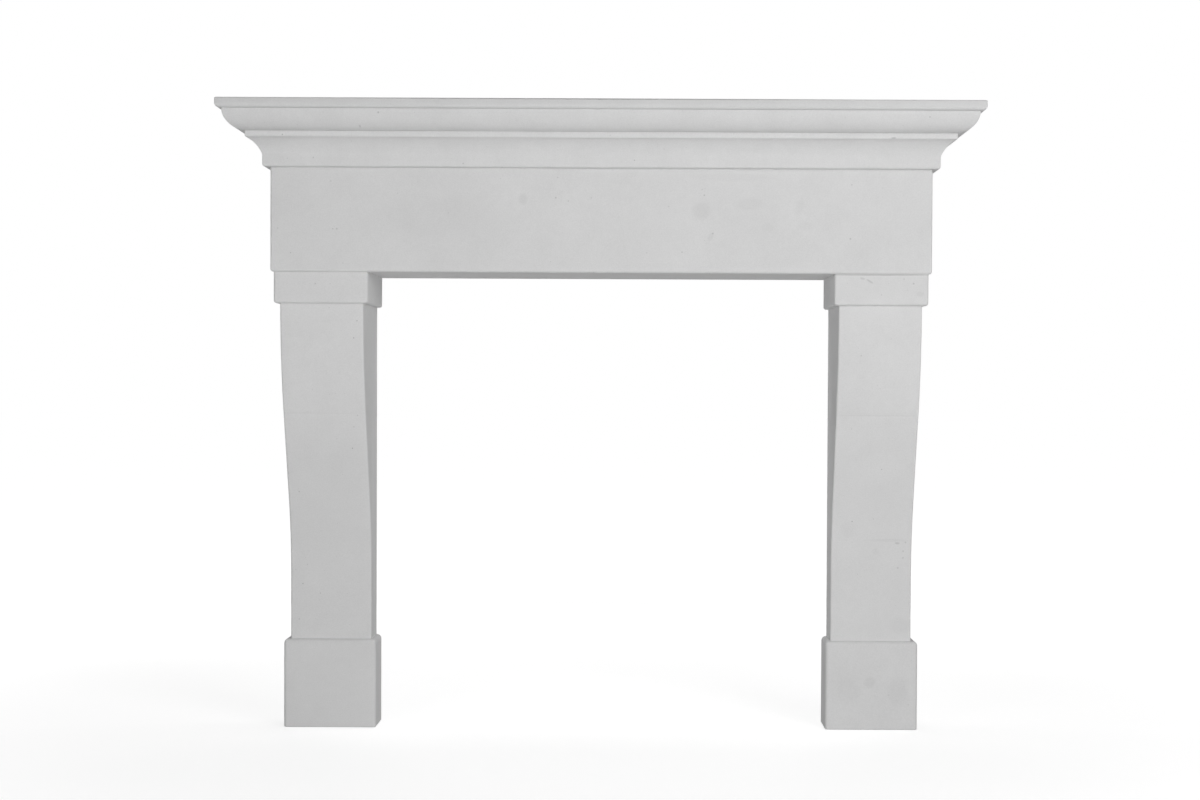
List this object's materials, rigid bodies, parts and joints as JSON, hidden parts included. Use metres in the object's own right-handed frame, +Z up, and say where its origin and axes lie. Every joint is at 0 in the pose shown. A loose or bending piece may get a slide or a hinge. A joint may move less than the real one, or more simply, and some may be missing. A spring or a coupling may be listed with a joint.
{
  "type": "fireplace mantelpiece",
  "caption": "Plain cast stone fireplace surround: curved legs with capitals and plinths carry a flat frieze and a deep moulded shelf.",
  "frame": {"origin": "centre of the frieze's back face, where the surround is fixed to the wall; the hearth is 1.191 m below it", "axes": "+X to the right along the shelf, +Y into the wall, +Z up; the wall plane is y = 0 and the front faces -Y"},
  "size_m": [1.7184, 0.3244, 1.452],
  "materials": {
    "shelf_stone": "matte fine cast stone",
    "frieze_stone": "matte fine cast stone",
    "leg_stone": "matte fine cast stone"
  },
  "bodies": {
    "root": {"shelf": "shelf_stone", "frieze": "frieze_stone", "left_leg": "leg_stone", "right_leg": "leg_stone"}
  },
  "joints": []
}
